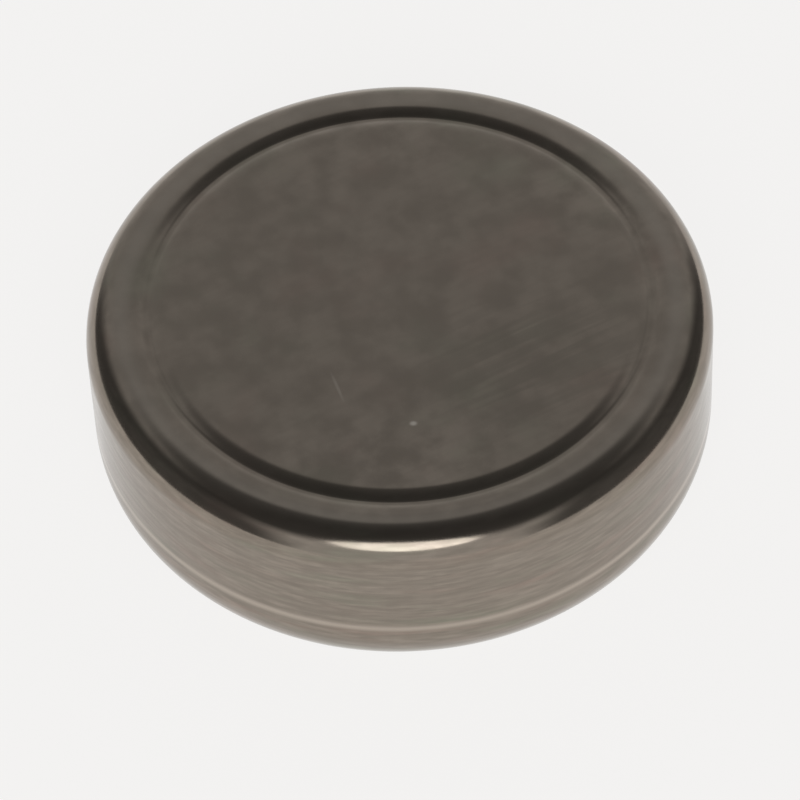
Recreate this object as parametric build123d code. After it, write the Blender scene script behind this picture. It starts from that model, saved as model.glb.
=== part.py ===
"""Rechargeable button cell of the crimped kind that powers an earbud, 12 mm across and 4 mm thick.

Two drawn steel cups are nested mouth to mouth. The can is the positive pole and its closed face is on top.
The cap is the negative pole, turned the other way up inside the can, and the cell stands on its flat face.
A plastic gasket keeps the cups apart, and the can's rim is rolled in under the cap's shoulder to hold all
three together. Inside lie the wound electrodes, bound with tape, an insulating disc at each end and the two
tabs that carry the current to the cups.

Every piece except the tabs and their cover is turned about Z. The origin is the centre of the face that the
cell stands on. Outlines are drawn with the radius along X and the height along Y. Lengths are in millimetres.
"""

from build123d import *
import math
import os

# The cell as a whole.
cell_diameter = 12.0
cell_height = 4.0

# The can: a drawn cup of even wall, its rim rolled in.
can_wall = 0.15
can_corner_radius = 0.62  # outside, between face and side wall
crimp_radius = 1.3  # outside, where the rim is rolled in
crimp_lip = 0.1  # flat end of the rim, inwards of the rolled bend
crimp_standoff = 0.06  # how far the rim stays above the surface that the cell stands on

# The shallow ring pressed into the can's face, which shows inside as a ridge.
ring_radius = 4.87
ring_width = 0.74
ring_depth = 0.07
ring_edge_radius = 0.5  # where the ring turns down from the face, on the outside

# The gasket between the cups.
gasket_wall = 0.15
gasket_foot_height = 0.35  # the foot between the cap's skirt and the can's face
gasket_foot_ledge = 0.05  # how far the foot reaches in past the can's corner

# The cap: a drawn cup with a shoulder that the gasket and the can's rim bear on.
cap_wall = 0.15
cap_flank_radius = 4.3
cap_corner_radius = 0.2  # outside, between face and flank
cap_shoulder_fillet = 0.12  # outside, between flank and shoulder

# The wound electrodes and what binds and insulates them.
winding_overhang = 0.2  # past the flat of the cap's shoulder
winding_core_radius = 0.9
tape_thickness = 0.05
tape_margin = 0.2  # bare winding left at each end
tape_slot_clearance = 0.1  # on each side of the positive tab
insulator_thickness = 0.08
upper_insulator_margin = 0.1  # bare winding left round the upper disc

# The tabs, cut from thin strip.
tab_thickness = 0.08
tab_bend_radius = 0.1  # on the strip's middle line
tab_ridge_clearance = 0.03  # between the positive tab and the ridge under the pressed ring
positive_tab_width = 1.6
positive_tab_reach = 1.5  # past the axis, along the can's face
positive_tab_leg = 1.8  # down the outside of the winding
positive_tab_step = 0.3  # length over which the tab rises to the can's face
positive_cover_margin = 0.25  # of the insulating patch round the tab's leg
negative_tab_width = 1.2
negative_tab_reach = 3.1  # from the axis, along the cap's face
negative_tab_leg = 1.4  # up into the winding's core
core_side_clearance = 0.015  # between the negative tab's corners and the core

# Places worked out from the sizes above.
can_radius = cell_diameter / 2
can_inner_radius = can_radius - can_wall
can_inner_face = cell_height - can_wall
rim_top = crimp_standoff + can_wall
crimp_centre_radius = can_radius - crimp_radius
crimp_tip_radius = crimp_centre_radius - crimp_lip
ring_inner_edge = ring_radius - ring_width / 2
ring_outer_edge = ring_radius + ring_width / 2

cap_shoulder_height = rim_top + gasket_wall
cap_shoulder_top = cap_shoulder_height + cap_wall
cap_skirt_radius = can_inner_radius - gasket_wall
cap_skirt_inner_radius = cap_skirt_radius - cap_wall
cap_skirt_top = can_inner_face - gasket_foot_height
cap_bend_radius = crimp_radius - can_wall - gasket_wall
gasket_foot_radius = can_radius - can_corner_radius - gasket_foot_ledge
gasket_lip_radius = cap_flank_radius + cap_shoulder_fillet

tab_on_can = can_inner_face - tab_thickness / 2
tab_on_cap = cap_wall + tab_thickness / 2
tab_under_ridge = tab_on_can - ring_depth - tab_ridge_clearance
upper_insulator_top = tab_under_ridge - tab_thickness / 2
winding_top = upper_insulator_top - insulator_thickness
winding_bottom = cap_shoulder_top + insulator_thickness
winding_radius = crimp_centre_radius + winding_overhang


def turned(outline):
    """Turns a closed outline, radius along X and height along Y, once about the cell's axis."""
    return revolve(Plane.XZ * make_face(outline), Axis.Z)


def turned_block(inner_radius, outer_radius, bottom, top):
    """A plain ring, or a disc where the inner radius is nought."""
    corners = [(inner_radius, bottom), (outer_radius, bottom), (outer_radius, top), (inner_radius, top)]
    return turned(Polyline(*corners, close=True).edges())


def pressed_ring(face_height, edge_radius):
    """The pressed ring's section in a face at this height: two edge arcs and the floor arc between them.

    The arcs meet at one slope, so that a face and its underside, drawn with an edge radius less by the wall,
    stay one wall apart all the way across.
    """
    slope = 2 * math.atan(2 * ring_depth / ring_width)
    turn_in = edge_radius * math.sin(slope)
    turn_down = edge_radius * (1 - math.cos(slope))
    inner_meeting = (ring_inner_edge + turn_in, face_height - turn_down)
    outer_meeting = (ring_outer_edge - turn_in, face_height - turn_down)
    return [
        TangentArc((ring_inner_edge, face_height), inner_meeting, tangent=(1, 0)),
        ThreePointArc(inner_meeting, (ring_radius, face_height - ring_depth), outer_meeting),
        TangentArc((ring_outer_edge, face_height), outer_meeting, tangent=(-1, 0)),
    ]


def make_can():
    """The positive cup: face with its pressed ring, side wall, and the rim rolled in under the cap."""
    outside = FilletPolyline(
        (ring_outer_edge, cell_height),
        (can_radius, cell_height),
        (can_radius, crimp_standoff),
        (crimp_tip_radius, crimp_standoff),
        radius=[can_corner_radius, crimp_radius],
    )
    inside = FilletPolyline(
        (ring_outer_edge, can_inner_face),
        (can_inner_radius, can_inner_face),
        (can_inner_radius, rim_top),
        (crimp_tip_radius, rim_top),
        radius=[can_corner_radius - can_wall, crimp_radius - can_wall],
    )
    faces = [
        Line((0, cell_height), (ring_inner_edge, cell_height)),
        Line((0, can_inner_face), (ring_inner_edge, can_inner_face)),
        Line((0, can_inner_face), (0, cell_height)),
    ]
    rings = pressed_ring(cell_height, ring_edge_radius)
    rings += pressed_ring(can_inner_face, ring_edge_radius - can_wall)
    rim_end = Line((crimp_tip_radius, crimp_standoff), (crimp_tip_radius, rim_top))
    return turned([*outside.edges(), *inside.edges(), *faces, *rings, rim_end])


def make_gasket():
    """The plastic ring: a lip on the can's rim, a wall between the cups, and a foot over the cap's skirt."""
    outside = FilletPolyline(
        (gasket_foot_radius, can_inner_face),
        (can_inner_radius, can_inner_face),
        (can_inner_radius, rim_top),
        (gasket_lip_radius, rim_top),
        radius=[can_corner_radius - can_wall, crimp_radius - can_wall],
    )
    inside = FilletPolyline(
        (gasket_lip_radius, cap_shoulder_height),
        (cap_skirt_radius, cap_shoulder_height),
        (cap_skirt_radius, cap_skirt_top),
        radius=[cap_bend_radius],
    )
    ends = [
        Line((gasket_lip_radius, rim_top), (gasket_lip_radius, cap_shoulder_height)),
        Line((cap_skirt_radius, cap_skirt_top), (gasket_foot_radius, cap_skirt_top)),
        Line((gasket_foot_radius, cap_skirt_top), (gasket_foot_radius, can_inner_face)),
    ]
    return turned([*outside.edges(), *inside.edges(), *ends])


def make_cap():
    """The negative cup: flat face, flank, shoulder over the can's rim, and skirt up inside the gasket."""
    outside = FilletPolyline(
        (0, 0),
        (cap_flank_radius, 0),
        (cap_flank_radius, cap_shoulder_height),
        (cap_skirt_radius, cap_shoulder_height),
        (cap_skirt_radius, cap_skirt_top),
        radius=[cap_corner_radius, cap_shoulder_fillet, cap_bend_radius],
    )
    inside = FilletPolyline(
        (0, cap_wall),
        (cap_flank_radius - cap_wall, cap_wall),
        (cap_flank_radius - cap_wall, cap_shoulder_top),
        (cap_skirt_inner_radius, cap_shoulder_top),
        (cap_skirt_inner_radius, cap_skirt_top),
        radius=[cap_corner_radius - cap_wall, cap_shoulder_fillet + cap_wall, cap_bend_radius - cap_wall],
    )
    ends = [
        Line((0, 0), (0, cap_wall)),
        Line((cap_skirt_radius, cap_skirt_top), (cap_skirt_inner_radius, cap_skirt_top)),
    ]
    return turned([*outside.edges(), *inside.edges(), *ends])


def make_roll():
    """The wound electrodes as one solid with a hollow core."""
    return turned_block(winding_core_radius, winding_radius, winding_bottom, winding_top)


def make_roll_tape():
    """The tape round the winding, open where the positive tab's leg lies."""
    bottom = winding_bottom + tape_margin
    top = winding_top - tape_margin
    band = turned_block(winding_radius, winding_radius + tape_thickness, bottom, top)
    slot_width = positive_tab_width + 2 * tape_slot_clearance
    slot = Box(can_radius, slot_width, cell_height, align=(Align.MIN, Align.CENTER, Align.MIN))
    return band - slot


def make_upper_insulator():
    """The disc between the winding and the positive tab."""
    radius = winding_radius - upper_insulator_margin
    return turned_block(0, radius, winding_top, upper_insulator_top)


def make_lower_insulator():
    """The disc that the winding stands on, on the flat of the cap's shoulder, open at the core."""
    return turned_block(winding_core_radius, crimp_centre_radius, cap_shoulder_top, winding_bottom)


def bent_strip(route, bends, width):
    """A flat strip of tab metal whose middle line follows the route, with a radius for each corner."""
    middle_line = FilletPolyline(*route, radius=bends)
    band = trace(middle_line, line_width=tab_thickness)
    return extrude(Plane.XZ * band, width / 2, both=True)


def make_positive_tab():
    """The strip from the winding's side, under the ridge of the pressed ring and along the can's face."""
    leg = winding_radius + tab_thickness / 2
    step_start = ring_inner_edge - tab_bend_radius
    route = [
        (leg, tab_under_ridge - positive_tab_leg),
        (leg, tab_under_ridge),
        (step_start, tab_under_ridge),
        (step_start - positive_tab_step, tab_on_can),
        (-positive_tab_reach, tab_on_can),
    ]
    return bent_strip(route, [tab_bend_radius] * 3, positive_tab_width)


def make_positive_tab_cover():
    """The insulating patch on the positive tab's leg, which keeps it from the cap's skirt."""
    width = positive_tab_width + 2 * positive_cover_margin
    length = positive_tab_leg - tab_bend_radius
    bottom = tab_under_ridge - positive_tab_leg - positive_cover_margin
    place = Pos(winding_radius + tab_thickness, 0, bottom)
    return place * Box(tape_thickness, width, length, align=(Align.MIN, Align.CENTER, Align.MIN))


def make_negative_tab():
    """The strip from the winding's core down to the cap's face and outwards along it."""
    core_depth = math.sqrt(winding_core_radius**2 - (negative_tab_width / 2) ** 2)
    leg = core_side_clearance + tab_thickness / 2 - core_depth
    route = [
        (leg, tab_on_cap + negative_tab_leg),
        (leg, tab_on_cap),
        (negative_tab_reach, tab_on_cap),
    ]
    return bent_strip(route, [tab_bend_radius], negative_tab_width)


if __name__ == "__main__":
    pieces = {
        "positive_can": make_can(),
        "sealing_gasket": make_gasket(),
        "negative_cap": make_cap(),
        "electrode_roll": make_roll(),
        "roll_tape": make_roll_tape(),
        "upper_insulator": make_upper_insulator(),
        "lower_insulator": make_lower_insulator(),
        "positive_tab": make_positive_tab(),
        "positive_tab_cover": make_positive_tab_cover(),
        "negative_tab": make_negative_tab(),
    }
    os.makedirs("parts", exist_ok=True)
    for node, piece in pieces.items():
        export_step(piece, f"parts/{node}.step")
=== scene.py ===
"""Looks of a rechargeable button cell for an earbud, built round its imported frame.

The three turned shells that show (can, gasket and cap) are made again as fine lathed meshes. Gasket and cap
keep their nodes' sizes. The can's ring and outer corner differ from its node's, by up to 0.035 mm.
The sealed pieces keep their own meshes and get materials.
"""

from __future__ import annotations

import logging
import math
from dataclasses import dataclass, field
from enum import Enum
from functools import cached_property

import bmesh
import bpy
from mathutils import Matrix, Vector


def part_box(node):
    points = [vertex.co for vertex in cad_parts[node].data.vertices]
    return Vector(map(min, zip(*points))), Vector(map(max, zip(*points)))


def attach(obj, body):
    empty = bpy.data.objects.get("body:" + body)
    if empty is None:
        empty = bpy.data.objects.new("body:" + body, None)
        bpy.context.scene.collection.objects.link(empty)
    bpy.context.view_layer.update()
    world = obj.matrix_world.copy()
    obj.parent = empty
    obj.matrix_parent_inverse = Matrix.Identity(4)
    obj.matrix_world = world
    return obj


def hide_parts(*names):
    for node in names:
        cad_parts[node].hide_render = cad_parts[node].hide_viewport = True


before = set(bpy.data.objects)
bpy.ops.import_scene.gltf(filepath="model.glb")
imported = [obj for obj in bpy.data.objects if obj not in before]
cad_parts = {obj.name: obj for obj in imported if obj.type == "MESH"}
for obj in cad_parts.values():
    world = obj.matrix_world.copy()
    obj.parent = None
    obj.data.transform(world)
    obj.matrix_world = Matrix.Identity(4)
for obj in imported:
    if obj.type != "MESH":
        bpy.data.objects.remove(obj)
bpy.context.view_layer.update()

MM = 0.001
LOG = logging.getLogger("button_cell")

Point = tuple[float, float]
Socket = bpy.types.NodeSocket


class Side(Enum):
    """A half of the surround, by the way it lies from the cell, with its pale and dark levels by height.

    Each level is a pair: sine of the elevation, and brightness where white is one.
    """

    FRONT = ((0.0, 0.85), (0.55, 0.8), (0.66, 0.4), (0.76, 0.09), (1.0, 0.08))
    BACK = ((0.0, 0.7), (0.2, 0.52), (0.5, 0.42), (0.79, 0.39), (0.86, 0.12), (1.0, 0.08))


class Course(Enum):
    """The way an outline runs where it crosses a face."""

    OUTWARDS = "away from the axis"
    INWARDS = "towards the axis"


def hex_colour(code: str) -> tuple[float, float, float, float]:
    """Turns an sRGB hex colour into the linear colour that shaders take.

    Args:
        code: six hex digits, without a leading mark.

    Returns:
        Red, green, blue and an alpha of one.
    """
    channels = [int(code[i : i + 2], 16) / 255 for i in (0, 2, 4)]
    linear = [c / 12.92 if c <= 0.04045 else ((c + 0.055) / 1.055) ** 2.4 for c in channels]
    return (linear[0], linear[1], linear[2], 1.0)


def add_node(
    tree: bpy.types.NodeTree,
    kind: str,
    settings: dict[str, object] | None = None,
    inputs: dict[str | int, object] | None = None,
) -> bpy.types.Node:
    """Adds a node, sets its properties, and fills or links its inputs.

    Args:
        tree: the node tree to add to.
        kind: the node's type name.
        settings: property names and values.
        inputs: input names or numbers, each with a value or the output socket to link from.

    Returns:
        The new node.
    """
    node = tree.nodes.new(kind)
    for name, value in (settings or {}).items():
        setattr(node, name, value)
    for name, value in (inputs or {}).items():
        socket = node.inputs[name]
        if isinstance(value, bpy.types.NodeSocket):
            tree.links.new(value, socket)
        else:
            socket.default_value = value
    return node


def new_material(name: str) -> tuple[bpy.types.Material, bpy.types.NodeTree]:
    """Makes an empty node material.

    Args:
        name: the material's name.

    Returns:
        The material and its node tree.
    """
    material = bpy.data.materials.new(name)
    material.use_nodes = True
    material.node_tree.nodes.clear()
    return material, material.node_tree


@dataclass
class Outline:
    """A lathe outline in millimetres: radius and height of each point, in the order it is drawn."""

    points: list[Point] = field(default_factory=list)
    support: float = 0.03  # extra points this near each bend keep the flats flat in the light

    def to(self, radius: float, height: float) -> "Outline":
        """Draws a straight stretch to a point, with a support point near each end.

        Args:
            radius: the point's radius.
            height: the point's height.

        Returns:
            The outline, so that calls can follow each other.
        """
        if self.points:
            start, end = Vector(self.points[-1]), Vector((radius, height))
            length = (end - start).length
            if length > 4 * self.support:
                step = (end - start) / length * self.support
                self.points += [tuple(start + step), tuple(end - step)]
        self.points.append((radius, height))
        return self

    def arc(self, centre: Point, size: float, start: float, end: float, steps: int = 14) -> "Outline":
        """Draws an arc, with straight stretch to its start.

        Args:
            centre: the arc's centre.
            size: the arc's radius.
            start: the angle it starts at, in degrees.
            end: the angle it ends at, in degrees.
            steps: how many chords it has.

        Returns:
            The outline, so that calls can follow each other.
        """
        for i in range(steps + 1):
            angle = math.radians(start + (end - start) * i / steps)
            at = (centre[0] + size * math.cos(angle), centre[1] + size * math.sin(angle))
            if i == 0:
                self.to(*at)
            else:
                self.points.append(at)
        return self


@dataclass
class Lathe:
    """Turns an outline into a closed mesh with a node tree that places each vertex by its row and column."""

    segments: int = 360
    weld_distance: float = 0.0005  # millimetres

    @cached_property
    def tree(self) -> bpy.types.NodeTree:
        """The node tree, with inputs for the outline, the number of segments, the weld and the material."""
        tree = bpy.data.node_groups.new("turn_outline", "GeometryNodeTree")
        face = tree.interface
        face.new_socket("Outline", in_out="INPUT", socket_type="NodeSocketGeometry")
        face.new_socket("Segments", in_out="INPUT", socket_type="NodeSocketInt")
        face.new_socket("Weld Distance", in_out="INPUT", socket_type="NodeSocketFloat")
        face.new_socket("Material", in_out="INPUT", socket_type="NodeSocketMaterial")
        face.new_socket("Turned", in_out="OUTPUT", socket_type="NodeSocketGeometry")
        given = add_node(tree, "NodeGroupInput")
        count = add_node(
            tree, "GeometryNodeAttributeDomainSize", {"component": "MESH"}, {0: given.outputs["Outline"]}
        )
        columns = add_node(
            tree, "ShaderNodeMath", {"operation": "ADD"}, {0: given.outputs["Segments"], 1: 1.0}
        )
        grid = add_node(
            tree,
            "GeometryNodeMeshGrid",
            None,
            {"Vertices X": count.outputs["Point Count"], "Vertices Y": columns.outputs[0]},
        )
        index = add_node(tree, "GeometryNodeInputIndex")
        ratio = add_node(
            tree, "ShaderNodeMath", {"operation": "DIVIDE"}, {0: index.outputs[0], 1: columns.outputs[0]}
        )
        row = add_node(tree, "ShaderNodeMath", {"operation": "FLOOR"}, {0: ratio.outputs[0]})
        column = add_node(
            tree, "ShaderNodeMath", {"operation": "MODULO"}, {0: index.outputs[0], 1: columns.outputs[0]}
        )
        share = add_node(
            tree,
            "ShaderNodeMath",
            {"operation": "DIVIDE"},
            {0: column.outputs[0], 1: given.outputs["Segments"]},
        )
        angle = add_node(
            tree, "ShaderNodeMath", {"operation": "MULTIPLY"}, {0: share.outputs[0], 1: math.tau}
        )
        position = add_node(tree, "GeometryNodeInputPosition")
        sample = add_node(
            tree,
            "GeometryNodeSampleIndex",
            {"data_type": "FLOAT_VECTOR", "domain": "POINT"},
            {"Geometry": given.outputs["Outline"], "Value": position.outputs[0], "Index": row.outputs[0]},
        )
        turned = add_node(
            tree,
            "ShaderNodeVectorRotate",
            {"rotation_type": "Z_AXIS"},
            {"Vector": sample.outputs["Value"], "Angle": angle.outputs[0]},
        )
        placed = add_node(
            tree,
            "GeometryNodeSetPosition",
            None,
            {"Geometry": grid.outputs["Mesh"], "Position": turned.outputs[0]},
        )
        welded = add_node(
            tree,
            "GeometryNodeMergeByDistance",
            None,
            {"Geometry": placed.outputs[0], "Distance": given.outputs["Weld Distance"]},
        )
        smooth = add_node(tree, "GeometryNodeSetShadeSmooth", None, {"Geometry": welded.outputs[0]})
        real = add_node(tree, "GeometryNodeRealizeInstances", None, {"Geometry": smooth.outputs[0]})
        dressed = add_node(
            tree,
            "GeometryNodeSetMaterial",
            None,
            {"Geometry": real.outputs[0], "Material": given.outputs["Material"]},
        )
        add_node(tree, "NodeGroupOutput", None, {"Turned": dressed.outputs[0]})
        return tree

    def turn(self, name: str, outline: Outline, material: bpy.types.Material) -> bpy.types.Object:
        """Turns an outline about the cell's axis.

        Args:
            name: the piece's name.
            outline: the outline, in millimetres.
            material: what the piece is made of.

        Returns:
            A closed mesh object with its normals outwards.
        """
        chain = bpy.data.meshes.new(name + "_outline")
        vertices = [(r * MM, 0.0, z * MM) for r, z in outline.points]
        chain.from_pydata(vertices, [(i, i + 1) for i in range(len(vertices) - 1)], [])
        maker = bpy.data.objects.new(name + "_maker", chain)
        bpy.context.scene.collection.objects.link(maker)
        modifier = maker.modifiers.new("turn", "NODES")
        modifier.node_group = self.tree
        ids = {s.name: s.identifier for s in self.tree.interface.items_tree if s.in_out == "INPUT"}
        modifier[ids["Segments"]] = self.segments
        modifier[ids["Weld Distance"]] = self.weld_distance * MM
        modifier[ids["Material"]] = material
        graph = bpy.context.evaluated_depsgraph_get()
        mesh = bpy.data.meshes.new_from_object(maker.evaluated_get(graph))
        maker.modifiers.clear()
        bpy.data.objects.remove(maker)
        work = bmesh.new()
        work.from_mesh(mesh)
        bmesh.ops.dissolve_degenerate(work, dist=0.0001 * MM, edges=work.edges)
        bmesh.ops.recalc_face_normals(work, faces=work.faces)
        work.to_mesh(mesh)
        work.free()
        mesh.name = name
        piece = bpy.data.objects.new(name, mesh)
        bpy.context.scene.collection.objects.link(piece)
        return piece


class Across(Enum):
    """What a band round the cell is measured by."""

    HEIGHT = "height on the wall"
    RADIUS = "distance from the axis"


@dataclass(frozen=True)
class Band:
    """A band right round the cell, such as a painted highlight: its middle, its half width, its colour and
    its strength.
    """

    across: Across
    middle: float
    half_width: float
    colour: str
    strength: float


@dataclass(frozen=True)
class FaceMark:
    """A short rub or nick on the can's face: its place, its half length and half width, and its direction."""

    place: Point
    half_length: float
    half_width: float
    angle: float  # degrees from the X axis
    paleness: float


@dataclass(frozen=True)
class DrawnSteel:
    """Nickel-plated deep-drawing steel: a dull satin, with fine rings round the wall and rubs on the flats.

    Lengths are in millimetres. Draw marks and rubs are drawn coarser than real ones, so that they show.
    """

    name: str
    colour: str
    dull_colour: str
    roughness: float
    ring_spacing: float = 0.11
    ring_length: float = 5.0
    mottle_size: float = 0.6
    drawn_flat: float = 0.14  # the draw smears patches on the wall to this share of their height
    stain_size: float = 2.6
    rub_spacing: float = 0.17
    rub_length: float = 3.0
    rub_angle: float = -27.0  # degrees that the grain of the rubbing marks is turned
    pink_cast: str = "9C867C"
    green_cast: str = "868A79"
    rub_colour: str = "80796F"
    bare_colour: str = "C9C2B8"  # where the plating is scratched through
    bands: tuple[Band, ...] = ()
    marks: tuple[FaceMark, ...] = ()
    rub_patch: FaceMark | None = None  # where the rubbing marks gather

    def noise(
        self, tree: bpy.types.NodeTree, sizes: tuple[float, float, float], angle: float, detail: float
    ) -> Socket:
        """Adds a noise whose grain has a size along each axis.

        Args:
            tree: the material's tree.
            sizes: grain along X, Y and Z, in millimetres.
            angle: degrees that the grain is turned about Z.
            detail: how many finer layers it has.

        Returns:
            The noise's output socket, from nought to one.
        """
        place = add_node(tree, "ShaderNodeTexCoord")
        turned = add_node(
            tree,
            "ShaderNodeMapping",
            None,
            {"Vector": place.outputs["Object"], "Rotation": (0.0, 0.0, math.radians(angle))},
        )
        scaled = add_node(
            tree,
            "ShaderNodeMapping",
            None,
            {"Vector": turned.outputs[0], "Scale": tuple(1 / (size * MM) for size in sizes)},
        )
        grain = add_node(
            tree, "ShaderNodeTexNoise", None, {"Vector": scaled.outputs[0], "Scale": 1.0, "Detail": detail}
        )
        return grain.outputs[0]

    def blend(self, tree: bpy.types.NodeTree, share: object, base: object, over: object) -> Socket:
        """Lays one colour over another.

        Args:
            tree: the material's tree.
            share: how much of the second shows, a socket or a number.
            base: the first colour, a socket or a colour.
            over: the second colour, a socket or a colour.

        Returns:
            The mixed colour's socket.
        """
        mixed = add_node(tree, "ShaderNodeMix", {"data_type": "RGBA"}, {0: share, 6: base, 7: over})
        return mixed.outputs[2]

    def spread(
        self, tree: bpy.types.NodeTree, value: Socket, low: float, high: float, to_low: float, to_high: float
    ) -> Socket:
        """Maps a socket from one range to another, smoothly and held at the ends.

        Args:
            tree: the material's tree.
            value: the socket to map.
            low: where the range starts.
            high: where the range ends.
            to_low: what the start becomes.
            to_high: what the end becomes.

        Returns:
            The mapped socket.
        """
        mapped = add_node(
            tree,
            "ShaderNodeMapRange",
            {"interpolation_type": "SMOOTHSTEP"},
            {"Value": value, "From Min": low, "From Max": high, "To Min": to_low, "To Max": to_high},
        )
        return mapped.outputs[0]

    def band(self, tree: bpy.types.NodeTree, band: Band) -> Socket:
        """Returns how much of one band shows: full at its middle and fading to both sides.

        Args:
            tree: the material's tree.
            band: the band.

        Returns:
            The socket with its strength.
        """
        place = add_node(tree, "ShaderNodeTexCoord")
        split = add_node(tree, "ShaderNodeSeparateXYZ", None, {0: place.outputs["Object"]})
        measure = split.outputs["Z"]
        if band.across is Across.RADIUS:
            flat = add_node(
                tree, "ShaderNodeCombineXYZ", None, {"X": split.outputs["X"], "Y": split.outputs["Y"]}
            )
            reach = add_node(tree, "ShaderNodeVectorMath", {"operation": "LENGTH"}, {0: flat.outputs[0]})
            measure = reach.outputs["Value"]
        off = add_node(tree, "ShaderNodeMath", {"operation": "SUBTRACT"}, {0: measure, 1: band.middle * MM})
        away = add_node(tree, "ShaderNodeMath", {"operation": "ABSOLUTE"}, {0: off.outputs[0]})
        return self.spread(tree, away.outputs[0], 0.0, band.half_width * MM, band.strength, 0.0)

    def mark(self, tree: bpy.types.NodeTree, mark: FaceMark) -> Socket:
        """Returns how much of one face mark shows: an oval that fades outwards.

        Args:
            tree: the material's tree.
            mark: the mark.

        Returns:
            The socket with its strength.
        """
        place = add_node(tree, "ShaderNodeTexCoord")
        local = add_node(
            tree,
            "ShaderNodeMapping",
            {"vector_type": "TEXTURE"},
            {
                "Vector": place.outputs["Object"],
                "Location": (mark.place[0] * MM, mark.place[1] * MM, 0.0),
                "Rotation": (0.0, 0.0, math.radians(mark.angle)),
                "Scale": (mark.half_length * MM, mark.half_width * MM, 1.0),
            },
        )
        reach = add_node(tree, "ShaderNodeVectorMath", {"operation": "LENGTH"}, {0: local.outputs[0]})
        return self.spread(tree, reach.outputs["Value"], 0.2, 1.0, mark.paleness, 0.0)

    def make(self) -> bpy.types.Material:
        """Builds the material."""
        material, tree = new_material(self.name)
        mottle, stain = self.mottle_size, self.stain_size
        fine = self.noise(tree, (mottle, mottle, mottle * self.drawn_flat), 0.0, 6.0)
        stains = self.noise(tree, (stain, stain, stain * self.drawn_flat), 0.0, 3.0)
        rings = self.noise(tree, (self.ring_length, self.ring_length, self.ring_spacing), 0.0, 3.0)
        rubs = self.noise(tree, (self.rub_length, self.rub_spacing, self.rub_length), self.rub_angle, 2.0)
        colour = self.blend(
            tree,
            self.spread(tree, fine, 0.3, 0.7, 0.0, 1.0),
            hex_colour(self.colour),
            hex_colour(self.dull_colour),
        )
        # Uneven plating leaves pink and green casts, each faint.
        pink = self.spread(tree, stains, 0.52, 0.72, 0.0, 0.4)
        green = self.spread(tree, stains, 0.28, 0.48, 0.4, 0.0)
        colour = self.blend(tree, pink, colour, hex_colour(self.pink_cast))
        colour = self.blend(tree, green, colour, hex_colour(self.green_cast))
        streak = self.spread(tree, rings, 0.35, 0.65, 0.0, 0.45)
        colour = self.blend(tree, streak, colour, hex_colour(self.dull_colour))
        rubbed = self.spread(tree, rubs, 0.4, 0.62, 0.0, 0.2)
        colour = self.blend(tree, rubbed, colour, hex_colour(self.dull_colour))
        if self.rub_patch is not None:
            lines = self.spread(tree, rubs, 0.42, 0.58, 0.0, 1.0)
            patch = self.mark(tree, self.rub_patch)
            gathered = add_node(tree, "ShaderNodeMath", {"operation": "MULTIPLY"}, {0: lines, 1: patch})
            colour = self.blend(tree, gathered.outputs[0], colour, hex_colour(self.rub_colour))
        # Bands round the cell, a painted highlight on the wall among them, are laid into the colour.
        for band in self.bands:
            colour = self.blend(tree, self.band(tree, band), colour, hex_colour(band.colour))
        for mark in self.marks:
            colour = self.blend(tree, self.mark(tree, mark), colour, hex_colour(self.bare_colour))
        roughness = self.spread(tree, fine, 0.3, 0.7, self.roughness - 0.02, self.roughness + 0.03)
        ring_bump = add_node(
            tree, "ShaderNodeBump", None, {"Strength": 0.5, "Distance": 0.0016 * MM, "Height": rings}
        )
        rub_bump = add_node(
            tree,
            "ShaderNodeBump",
            None,
            {"Strength": 0.3, "Distance": 0.001 * MM, "Height": rubs, "Normal": ring_bump.outputs[0]},
        )
        shader = add_node(
            tree,
            "ShaderNodeBsdfPrincipled",
            None,
            {"Base Color": colour, "Metallic": 1.0, "Roughness": roughness, "Normal": rub_bump.outputs[0]},
        )
        add_node(tree, "ShaderNodeOutputMaterial", None, {"Surface": shader.outputs[0]})
        return material


@dataclass(frozen=True)
class PlainSolid:
    """A dielectric or metal whose colour varies a little in patches, as moulded or rolled stock does."""

    name: str
    colour: str
    second_colour: str
    roughness: float
    metallic: float = 0.0
    ior: float = 1.5
    patch_size: float = 0.8  # millimetres across a patch
    stretch: tuple[float, float, float] = (1.0, 1.0, 1.0)  # share of the patch's scale along each axis

    def make(self) -> bpy.types.Material:
        """Builds the material."""
        material, tree = new_material(self.name)
        place = add_node(tree, "ShaderNodeTexCoord")
        per_patch = 1 / (self.patch_size * MM)
        scale = tuple(per_patch * s for s in self.stretch)
        mapped = add_node(
            tree, "ShaderNodeMapping", None, {"Vector": place.outputs["Object"], "Scale": scale}
        )
        patches = add_node(
            tree, "ShaderNodeTexNoise", None, {"Vector": mapped.outputs[0], "Scale": 1.0, "Detail": 3.0}
        )
        colour = add_node(
            tree,
            "ShaderNodeMix",
            {"data_type": "RGBA"},
            {0: patches.outputs[0], 6: hex_colour(self.colour), 7: hex_colour(self.second_colour)},
        )
        bump = add_node(
            tree,
            "ShaderNodeBump",
            None,
            {"Strength": 0.2, "Distance": 0.001 * MM, "Height": patches.outputs[0]},
        )
        inputs = {
            "Base Color": colour.outputs[2],
            "Metallic": self.metallic,
            "Roughness": self.roughness,
            "Normal": bump.outputs[0],
        }
        if self.metallic == 0:
            inputs["IOR"] = self.ior
        shader = add_node(tree, "ShaderNodeBsdfPrincipled", None, inputs)
        add_node(tree, "ShaderNodeOutputMaterial", None, {"Surface": shader.outputs[0]})
        return material


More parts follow.
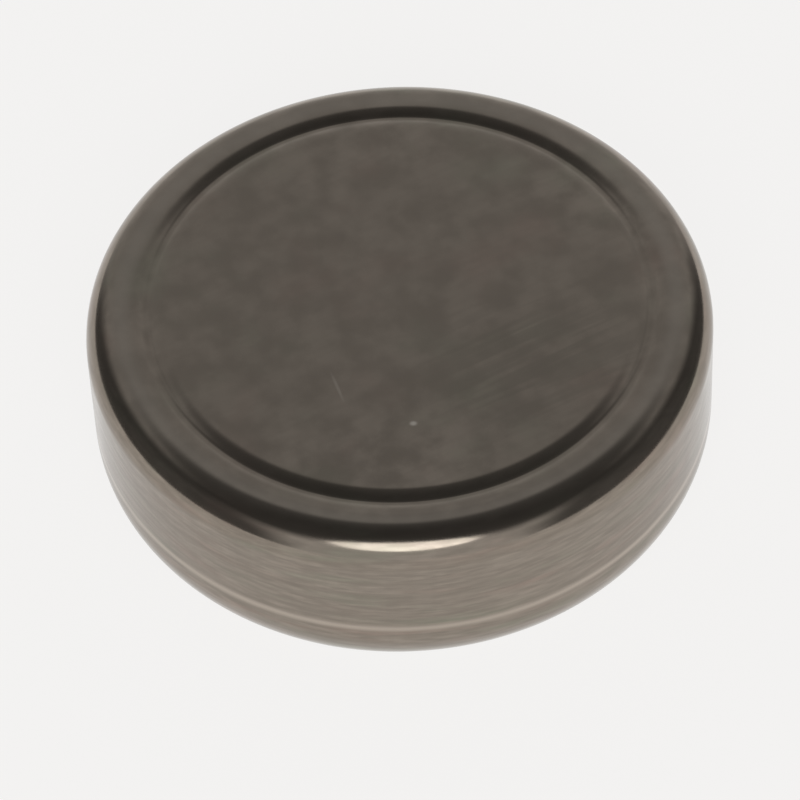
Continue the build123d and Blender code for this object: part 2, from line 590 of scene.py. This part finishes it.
@dataclass
class PositiveCan:
    """The drawn steel can: face with its pressed ring, side wall and rolled-in rim. Sizes in millimetres."""

    radius: float
    height: float
    wall: float = 0.15
    corner: float = 0.62
    outer_corner: float = 0.66  # the node's outer corner is 0.62
    crimp: float = 1.3
    lip: float = 0.1
    standoff: float = 0.06
    # The node's ring has a radius of 4.87, a width of 0.74, a depth of 0.07 and edges of 0.5.
    ring_radius: float = 4.83
    ring_width: float = 0.64
    ring_depth: float = 0.06
    ring_edge: float = 0.66
    # Nickel-plated steel as drawn: warm grey satin that mirrors its surroundings softly, with rings round the
    # wall, a paler rim, a thin painted highlight just above the crimp's bend, and a speck, a scratch and a
    # rubbed patch on the face.
    finish: DrawnSteel = DrawnSteel(
        "nickel_plated_drawn_steel_can",
        "998F84",
        "867D73",
        0.15,
        bands=(
            # Painted highlight: a thin pale band on the wall just above the crimp's bend.
            Band(Across.HEIGHT, 1.63, 0.13, "B3A89C", 0.85),
            Band(Across.HEIGHT, 2.62, 0.09, "7C746A", 0.4),
            Band(Across.RADIUS, 5.3, 0.3, "A39B91", 0.45),
        ),
        marks=(
            FaceMark((0.17, -3.0), 0.1, 0.08, 0.0, 0.9),
            FaceMark((-1.22, -2.03), 0.5, 0.045, -73.0, 0.22),
        ),
        rub_patch=FaceMark((2.4, -1.6), 2.8, 2.0, 15.0, 0.55),
    )

    def ring(self, outline: Outline, face: float, edge: float, course: Course) -> None:
        """Draws the pressed ring's three arcs in a face.

        Args:
            outline: what to draw on.
            face: the face's height.
            edge: the radius of the two edge arcs.
            course: the way it is drawn.
        """
        half = self.ring_width / 2
        slope = 2 * math.atan(self.ring_depth / half)
        floor = half / math.sin(slope) - edge
        turn = math.degrees(slope)
        arcs = [
            ((self.ring_radius - half, face - edge), edge, 90, 90 - turn),
            ((self.ring_radius, face - self.ring_depth + floor), floor, 270 - turn, 270 + turn),
            ((self.ring_radius + half, face - edge), edge, 90 + turn, 90),
        ]
        if course is Course.INWARDS:
            arcs = [(centre, size, end, start) for centre, size, start, end in reversed(arcs)]
        for centre, size, start, end in arcs:
            outline.arc(centre, size, start, end, 10)

    def outline(self) -> Outline:
        """Draws the can's section, from the axis over the outside and back along the inside."""
        inner_face = self.height - self.wall
        corner = (self.radius - self.corner, self.height - self.corner)
        outer = (self.radius - self.outer_corner, self.height - self.outer_corner)
        crimp = (self.radius - self.crimp, self.standoff + self.crimp)
        tip = crimp[0] - self.lip
        drawn = Outline().to(0, self.height)
        self.ring(drawn, self.height, self.ring_edge, Course.OUTWARDS)
        drawn.arc(outer, self.outer_corner, 90, 0, 22)
        drawn.arc(crimp, self.crimp, 0, -90, 26)
        drawn.to(tip, self.standoff).to(tip, self.standoff + self.wall)
        drawn.arc(crimp, self.crimp - self.wall, -90, 0, 12)
        drawn.arc(corner, self.corner - self.wall, 0, 90, 8)
        self.ring(drawn, inner_face, self.ring_edge - self.wall, Course.INWARDS)
        return drawn.to(0, inner_face)

    def build(self, lathe: Lathe) -> bpy.types.Object:
        """Makes the can and puts it in the place of its node."""
        piece = lathe.turn("positive_can_shell", self.outline(), self.finish.make())
        return stand_for(piece, "positive_can")


@dataclass
class NegativeCap:
    """The drawn steel cap that the cell stands on, inside the can. Sizes in millimetres."""

    can: PositiveCan
    wall: float = 0.15
    flank: float = 4.3
    corner: float = 0.2
    fillet: float = 0.12
    gasket_wall: float = 0.15
    skirt_top: float = 3.5
    # The same plated steel, less worked and so a little paler and duller than the can.
    finish: DrawnSteel = DrawnSteel("nickel_plated_drawn_steel_cap", "ACA297", "9A9085", 0.22)

    @property
    def shoulder(self) -> float:
        """Height of the shoulder's underside."""
        return self.can.standoff + self.can.wall + self.gasket_wall

    @property
    def skirt(self) -> float:
        """Outside radius of the skirt."""
        return self.can.radius - self.can.wall - self.gasket_wall

    @property
    def bend(self) -> tuple[Point, float]:
        """Centre and outside radius of the bend between shoulder and skirt."""
        radius = self.can.crimp - self.can.wall - self.gasket_wall
        return (self.skirt - radius, self.shoulder + radius), radius

    def outline(self) -> Outline:
        """Draws the cap's section, from the axis along the outside and back along the inside."""
        centre, radius = self.bend
        corner = (self.flank - self.corner, self.corner)
        fillet = (self.flank + self.fillet, self.shoulder - self.fillet)
        drawn = Outline().to(0, 0)
        drawn.arc(corner, self.corner, -90, 0, 10)
        drawn.arc(fillet, self.fillet, 180, 90, 8)
        drawn.arc(centre, radius, -90, 0, 16)
        drawn.to(self.skirt, self.skirt_top).to(self.skirt - self.wall, self.skirt_top)
        drawn.arc(centre, radius - self.wall, 0, -90, 12)
        drawn.arc(fillet, self.fillet + self.wall, 90, 180, 8)
        drawn.arc(corner, self.corner - self.wall, 0, -90, 5)
        return drawn.to(0, self.wall)

    def build(self, lathe: Lathe) -> bpy.types.Object:
        """Makes the cap and puts it in the place of its node."""
        piece = lathe.turn("negative_cap_shell", self.outline(), self.finish.make())
        return stand_for(piece, "negative_cap")


@dataclass
class SealingGasket:
    """The moulded ring between can and cap, whose lip shows from below. Sizes in millimetres."""

    can: PositiveCan
    cap: NegativeCap
    foot_ledge: float = 0.05
    # Polypropylene, moulded and left uncoloured: milky, with a soft sheen.
    finish: PlainSolid = PlainSolid("moulded_polypropylene_gasket", "D8D5C8", "CDC9BA", 0.42, ior=1.49)

    def outline(self) -> Outline:
        """Draws the gasket's section as a closed loop."""
        can = self.can
        corner = (can.radius - can.corner, can.height - can.corner)
        crimp = (can.radius - can.crimp, can.standoff + can.crimp)
        rim = can.standoff + can.wall
        lip = self.cap.flank + self.cap.fillet
        foot = corner[0] - self.foot_ledge
        centre, radius = self.cap.bend
        drawn = Outline().to(foot, can.height - can.wall)
        drawn.arc(corner, can.corner - can.wall, 90, 0, 8)
        drawn.arc(crimp, can.crimp - can.wall, 0, -90, 14)
        drawn.to(lip, rim).to(lip, self.cap.shoulder)
        drawn.arc(centre, radius, -90, 0, 14)
        drawn.to(self.cap.skirt, self.cap.skirt_top).to(foot, self.cap.skirt_top)
        return drawn.to(foot, can.height - can.wall)

    def build(self, lathe: Lathe) -> bpy.types.Object:
        """Makes the gasket and puts it in the place of its node."""
        piece = lathe.turn("sealing_gasket_ring", self.outline(), self.finish.make())
        return stand_for(piece, "sealing_gasket")


def stand_for(piece: bpy.types.Object, node: str) -> bpy.types.Object:
    """Puts a piece in the place of a node of the frame.

    Args:
        piece: the finished mesh object.
        node: the node that it stands for.

    Returns:
        The piece.
    """
    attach(piece, "root")
    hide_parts(node)
    return piece


@dataclass(frozen=True)
class SealedPieces:
    """The pieces inside the cell, which keep the frame's own meshes and are given materials."""

    # Coated foil wound tight: near black, matt, with turns that show as rings.
    roll: PlainSolid = PlainSolid(
        "wound_coated_foil", "232323", "38352F", 0.6, patch_size=0.3, stretch=(1, 1, 0.1)
    )
    # Polyimide film: amber with a low gloss.
    tape: PlainSolid = PlainSolid("polyimide_film", "B5822E", "A87526", 0.3, ior=1.7)
    # Cut polymer sheet: off-white and matt.
    insulator: PlainSolid = PlainSolid("cut_polyester_sheet", "DCDAD2", "D2CFC5", 0.45, ior=1.57)
    # Rolled aluminium strip: pale, with lines along the rolling.
    aluminium: PlainSolid = PlainSolid(
        "rolled_aluminium_strip", "D4D4D4", "C6C6C8", 0.32, 1.0, stretch=(0.1, 2, 1)
    )
    # Rolled nickel strip: warmer and darker, with lines along the rolling.
    nickel: PlainSolid = PlainSolid("rolled_nickel_strip", "B5AEA0", "A69F92", 0.3, 1.0, stretch=(0.1, 2, 1))

    def dress(self) -> None:
        """Gives each sealed node its material."""
        worn = {
            "electrode_roll": self.roll,
            "roll_tape": self.tape,
            "positive_tab_cover": self.tape,
            "upper_insulator": self.insulator,
            "lower_insulator": self.insulator,
            "positive_tab": self.aluminium,
            "negative_tab": self.nickel,
        }
        made = {finish.name: finish.make() for finish in set(worn.values())}
        for node, finish in worn.items():
            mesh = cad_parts[node].data
            mesh.materials.clear()
            mesh.materials.append(made[finish.name])
            LOG.info("dressed %s in %s", node, finish.name)


@dataclass
class Studio:
    """The floor, the lamps, the world and the camera. Lengths in millimetres."""

    floor_half: float = 1500.0
    floor_colour: str = "F3F2F0"
    floor_pale: str = "FFFEFD"
    pale_share: float = 0.84
    wing_colour: str = "4A4A4A"
    wing_share: float = 0.9
    wing_start: float = 0.48  # sideways part of a direction at which the dark wings begin
    wing_full: float = 0.75
    front_end: float = -0.1  # backward part of a direction up to which the front's levels hold
    back_start: float = 0.35
    softbox_azimuth: float = -2.0
    softbox_elevation: float = 44.0
    softbox_distance: float = 420.0
    softbox_size: Point = (280.0, 200.0)
    softbox_watts: float = 0.42
    elevation: float = 50.7  # degrees, camera above the floor
    roll: float = 2.8  # degrees, how far the cell leans anticlockwise in the frame
    distance: float = 96.0
    lens: float = 219.7
    shift_x: float = -0.006
    shift_y: float = 0.044

    def floor(self) -> None:
        """Lays a plain pale floor, near white to the eye and in the metal, that keeps the cell's shadow."""
        h = self.floor_half * MM
        mesh = bpy.data.meshes.new("floor")
        mesh.from_pydata([(-h, -h, 0), (h, -h, 0), (h, h, 0), (-h, h, 0)], [], [(0, 1, 2, 3)])
        # Matt paper, with a share that glows an even near-white to the eye, in metal and through glass.
        material, tree = new_material("plain_paper_floor")
        paper = add_node(
            tree,
            "ShaderNodeBsdfPrincipled",
            None,
            {"Base Color": hex_colour(self.floor_colour), "Roughness": 0.9},
        )
        pale = add_node(
            tree, "ShaderNodeEmission", None, {"Color": hex_colour(self.floor_pale), "Strength": 1.0}
        )
        path = add_node(tree, "ShaderNodeLightPath")
        seen = add_node(
            tree,
            "ShaderNodeMath",
            {"operation": "ADD"},
            {0: path.outputs["Is Camera Ray"], 1: path.outputs["Is Glossy Ray"]},
        )
        shown = add_node(
            tree,
            "ShaderNodeMath",
            {"operation": "ADD", "use_clamp": True},
            {0: seen.outputs[0], 1: path.outputs["Is Transmission Ray"]},
        )
        share = add_node(
            tree, "ShaderNodeMath", {"operation": "MULTIPLY"}, {0: shown.outputs[0], 1: self.pale_share}
        )
        mixed = add_node(
            tree, "ShaderNodeMixShader", None, {0: share.outputs[0], 1: paper.outputs[0], 2: pale.outputs[0]}
        )
        add_node(tree, "ShaderNodeOutputMaterial", None, {"Surface": mixed.outputs[0]})
        mesh.materials.append(material)
        floor = bpy.data.objects.new("floor", mesh)
        bpy.context.scene.collection.objects.link(floor)

    def world(self) -> None:
        """Makes a surround with a dark ceiling, pale walls before and behind, and dark wings at the sides."""
        world = bpy.data.worlds.new("studio")
        world.use_nodes = True
        tree = world.node_tree
        tree.nodes.clear()
        place = add_node(tree, "ShaderNodeTexCoord")
        split = add_node(tree, "ShaderNodeSeparateXYZ", None, {0: place.outputs["Generated"]})
        levels = {}
        for side in Side:
            ramp = add_node(tree, "ShaderNodeValToRGB", None, {0: split.outputs["Z"]})
            stops = ramp.color_ramp.elements
            while len(stops) < len(side.value):
                stops.new(1.0)
            for stop, (height, level) in zip(stops, side.value):
                stop.position = height
                stop.color = (level, level, level, 1.0)
            levels[side] = ramp.outputs[0]
        backness = add_node(
            tree,
            "ShaderNodeMapRange",
            {"interpolation_type": "SMOOTHSTEP"},
            {
                "Value": split.outputs["Y"],
                "From Min": self.front_end,
                "From Max": self.back_start,
                "To Min": 0.0,
                "To Max": 1.0,
            },
        )
        both = add_node(
            tree,
            "ShaderNodeMix",
            {"data_type": "RGBA"},
            {0: backness.outputs[0], 6: levels[Side.FRONT], 7: levels[Side.BACK]},
        )
        sideways = add_node(tree, "ShaderNodeMath", {"operation": "ABSOLUTE"}, {0: split.outputs["X"]})
        wing = add_node(
            tree,
            "ShaderNodeMapRange",
            {"interpolation_type": "SMOOTHSTEP"},
            {
                "Value": sideways.outputs[0],
                "From Min": self.wing_start,
                "From Max": self.wing_full,
                "To Min": 0.0,
                "To Max": self.wing_share,
            },
        )
        winged = add_node(
            tree,
            "ShaderNodeMix",
            {"data_type": "RGBA"},
            {0: wing.outputs[0], 6: both.outputs[2], 7: hex_colour(self.wing_colour)},
        )
        surround = add_node(tree, "ShaderNodeBackground", None, {"Color": winged.outputs[2], "Strength": 1.0})
        add_node(tree, "ShaderNodeOutputWorld", None, {"Surface": surround.outputs[0]})
        bpy.context.scene.world = world

    def lamp(
        self, name: str, azimuth: float, elevation: float, away: float, size: Point, watts: float
    ) -> None:
        """Hangs an oval softbox that faces the cell.

        Args:
            name: the lamp's name.
            azimuth: degrees round from the front, towards the right.
            elevation: degrees above the floor.
            away: its distance from the cell.
            size: its width and height.
            watts: its power.
        """
        data = bpy.data.lights.new(name, "AREA")
        data.shape = "ELLIPSE"
        data.size, data.size_y = size[0] * MM, size[1] * MM
        data.energy = watts
        lamp = bpy.data.objects.new(name, data)
        a, e = math.radians(azimuth), math.radians(elevation)
        back = Vector((math.sin(a) * math.cos(e), -math.cos(a) * math.cos(e), math.sin(e)))
        lamp.location = back * away * MM
        lamp.rotation_mode = "QUATERNION"
        lamp.rotation_quaternion = (-back).to_track_quat("-Z", "Y")
        bpy.context.scene.collection.objects.link(lamp)

    def lamps(self) -> None:
        """Hangs one softbox high in front."""
        self.lamp(
            "front_softbox",
            self.softbox_azimuth,
            self.softbox_elevation,
            self.softbox_distance,
            self.softbox_size,
            self.softbox_watts,
        )

    def camera(self) -> None:
        """Stands the camera in front of the cell, looking down at the middle of its base."""
        e, r = math.radians(self.elevation), math.radians(self.roll)
        forward = Vector((0, math.cos(e), -math.sin(e)))
        right = Vector((1, 0, 0))
        up = right.cross(forward)
        leaning_right = right * math.cos(r) - up * math.sin(r)
        leaning_up = right * math.sin(r) + up * math.cos(r)
        data = bpy.data.cameras.new("camera")
        data.lens = self.lens
        data.shift_x, data.shift_y = self.shift_x, self.shift_y
        data.clip_start, data.clip_end = 1 * MM, 10000 * MM
        camera = bpy.data.objects.new("camera", data)
        axes = Matrix((leaning_right, leaning_up, -forward)).transposed().to_4x4()
        camera.matrix_world = Matrix.Translation(-forward * self.distance * MM) @ axes
        bpy.context.scene.collection.objects.link(camera)
        bpy.context.scene.camera = camera

    def build(self) -> None:
        """Sets up everything round the cell."""
        self.floor()
        self.world()
        self.lamps()
        self.camera()
        bpy.context.scene.view_settings.view_transform = "Standard"


def main() -> None:
    """Builds the cell's pieces in order, then the studio."""
    logging.basicConfig(level=logging.INFO, format="%(name)s: %(message)s")
    lathe = Lathe()
    low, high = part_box("positive_can")
    can = PositiveCan(radius=(high[0] - low[0]) / 2 / MM, height=high[2] / MM)
    cap = NegativeCap(can)
    gasket = SealingGasket(can, cap)
    for part in (can, cap, gasket):
        piece = part.build(lathe)
        LOG.info("made %s with %d faces", piece.name, len(piece.data.polygons))
    SealedPieces().dress()
    Studio().build()


if __name__ == "__main__":
    main()
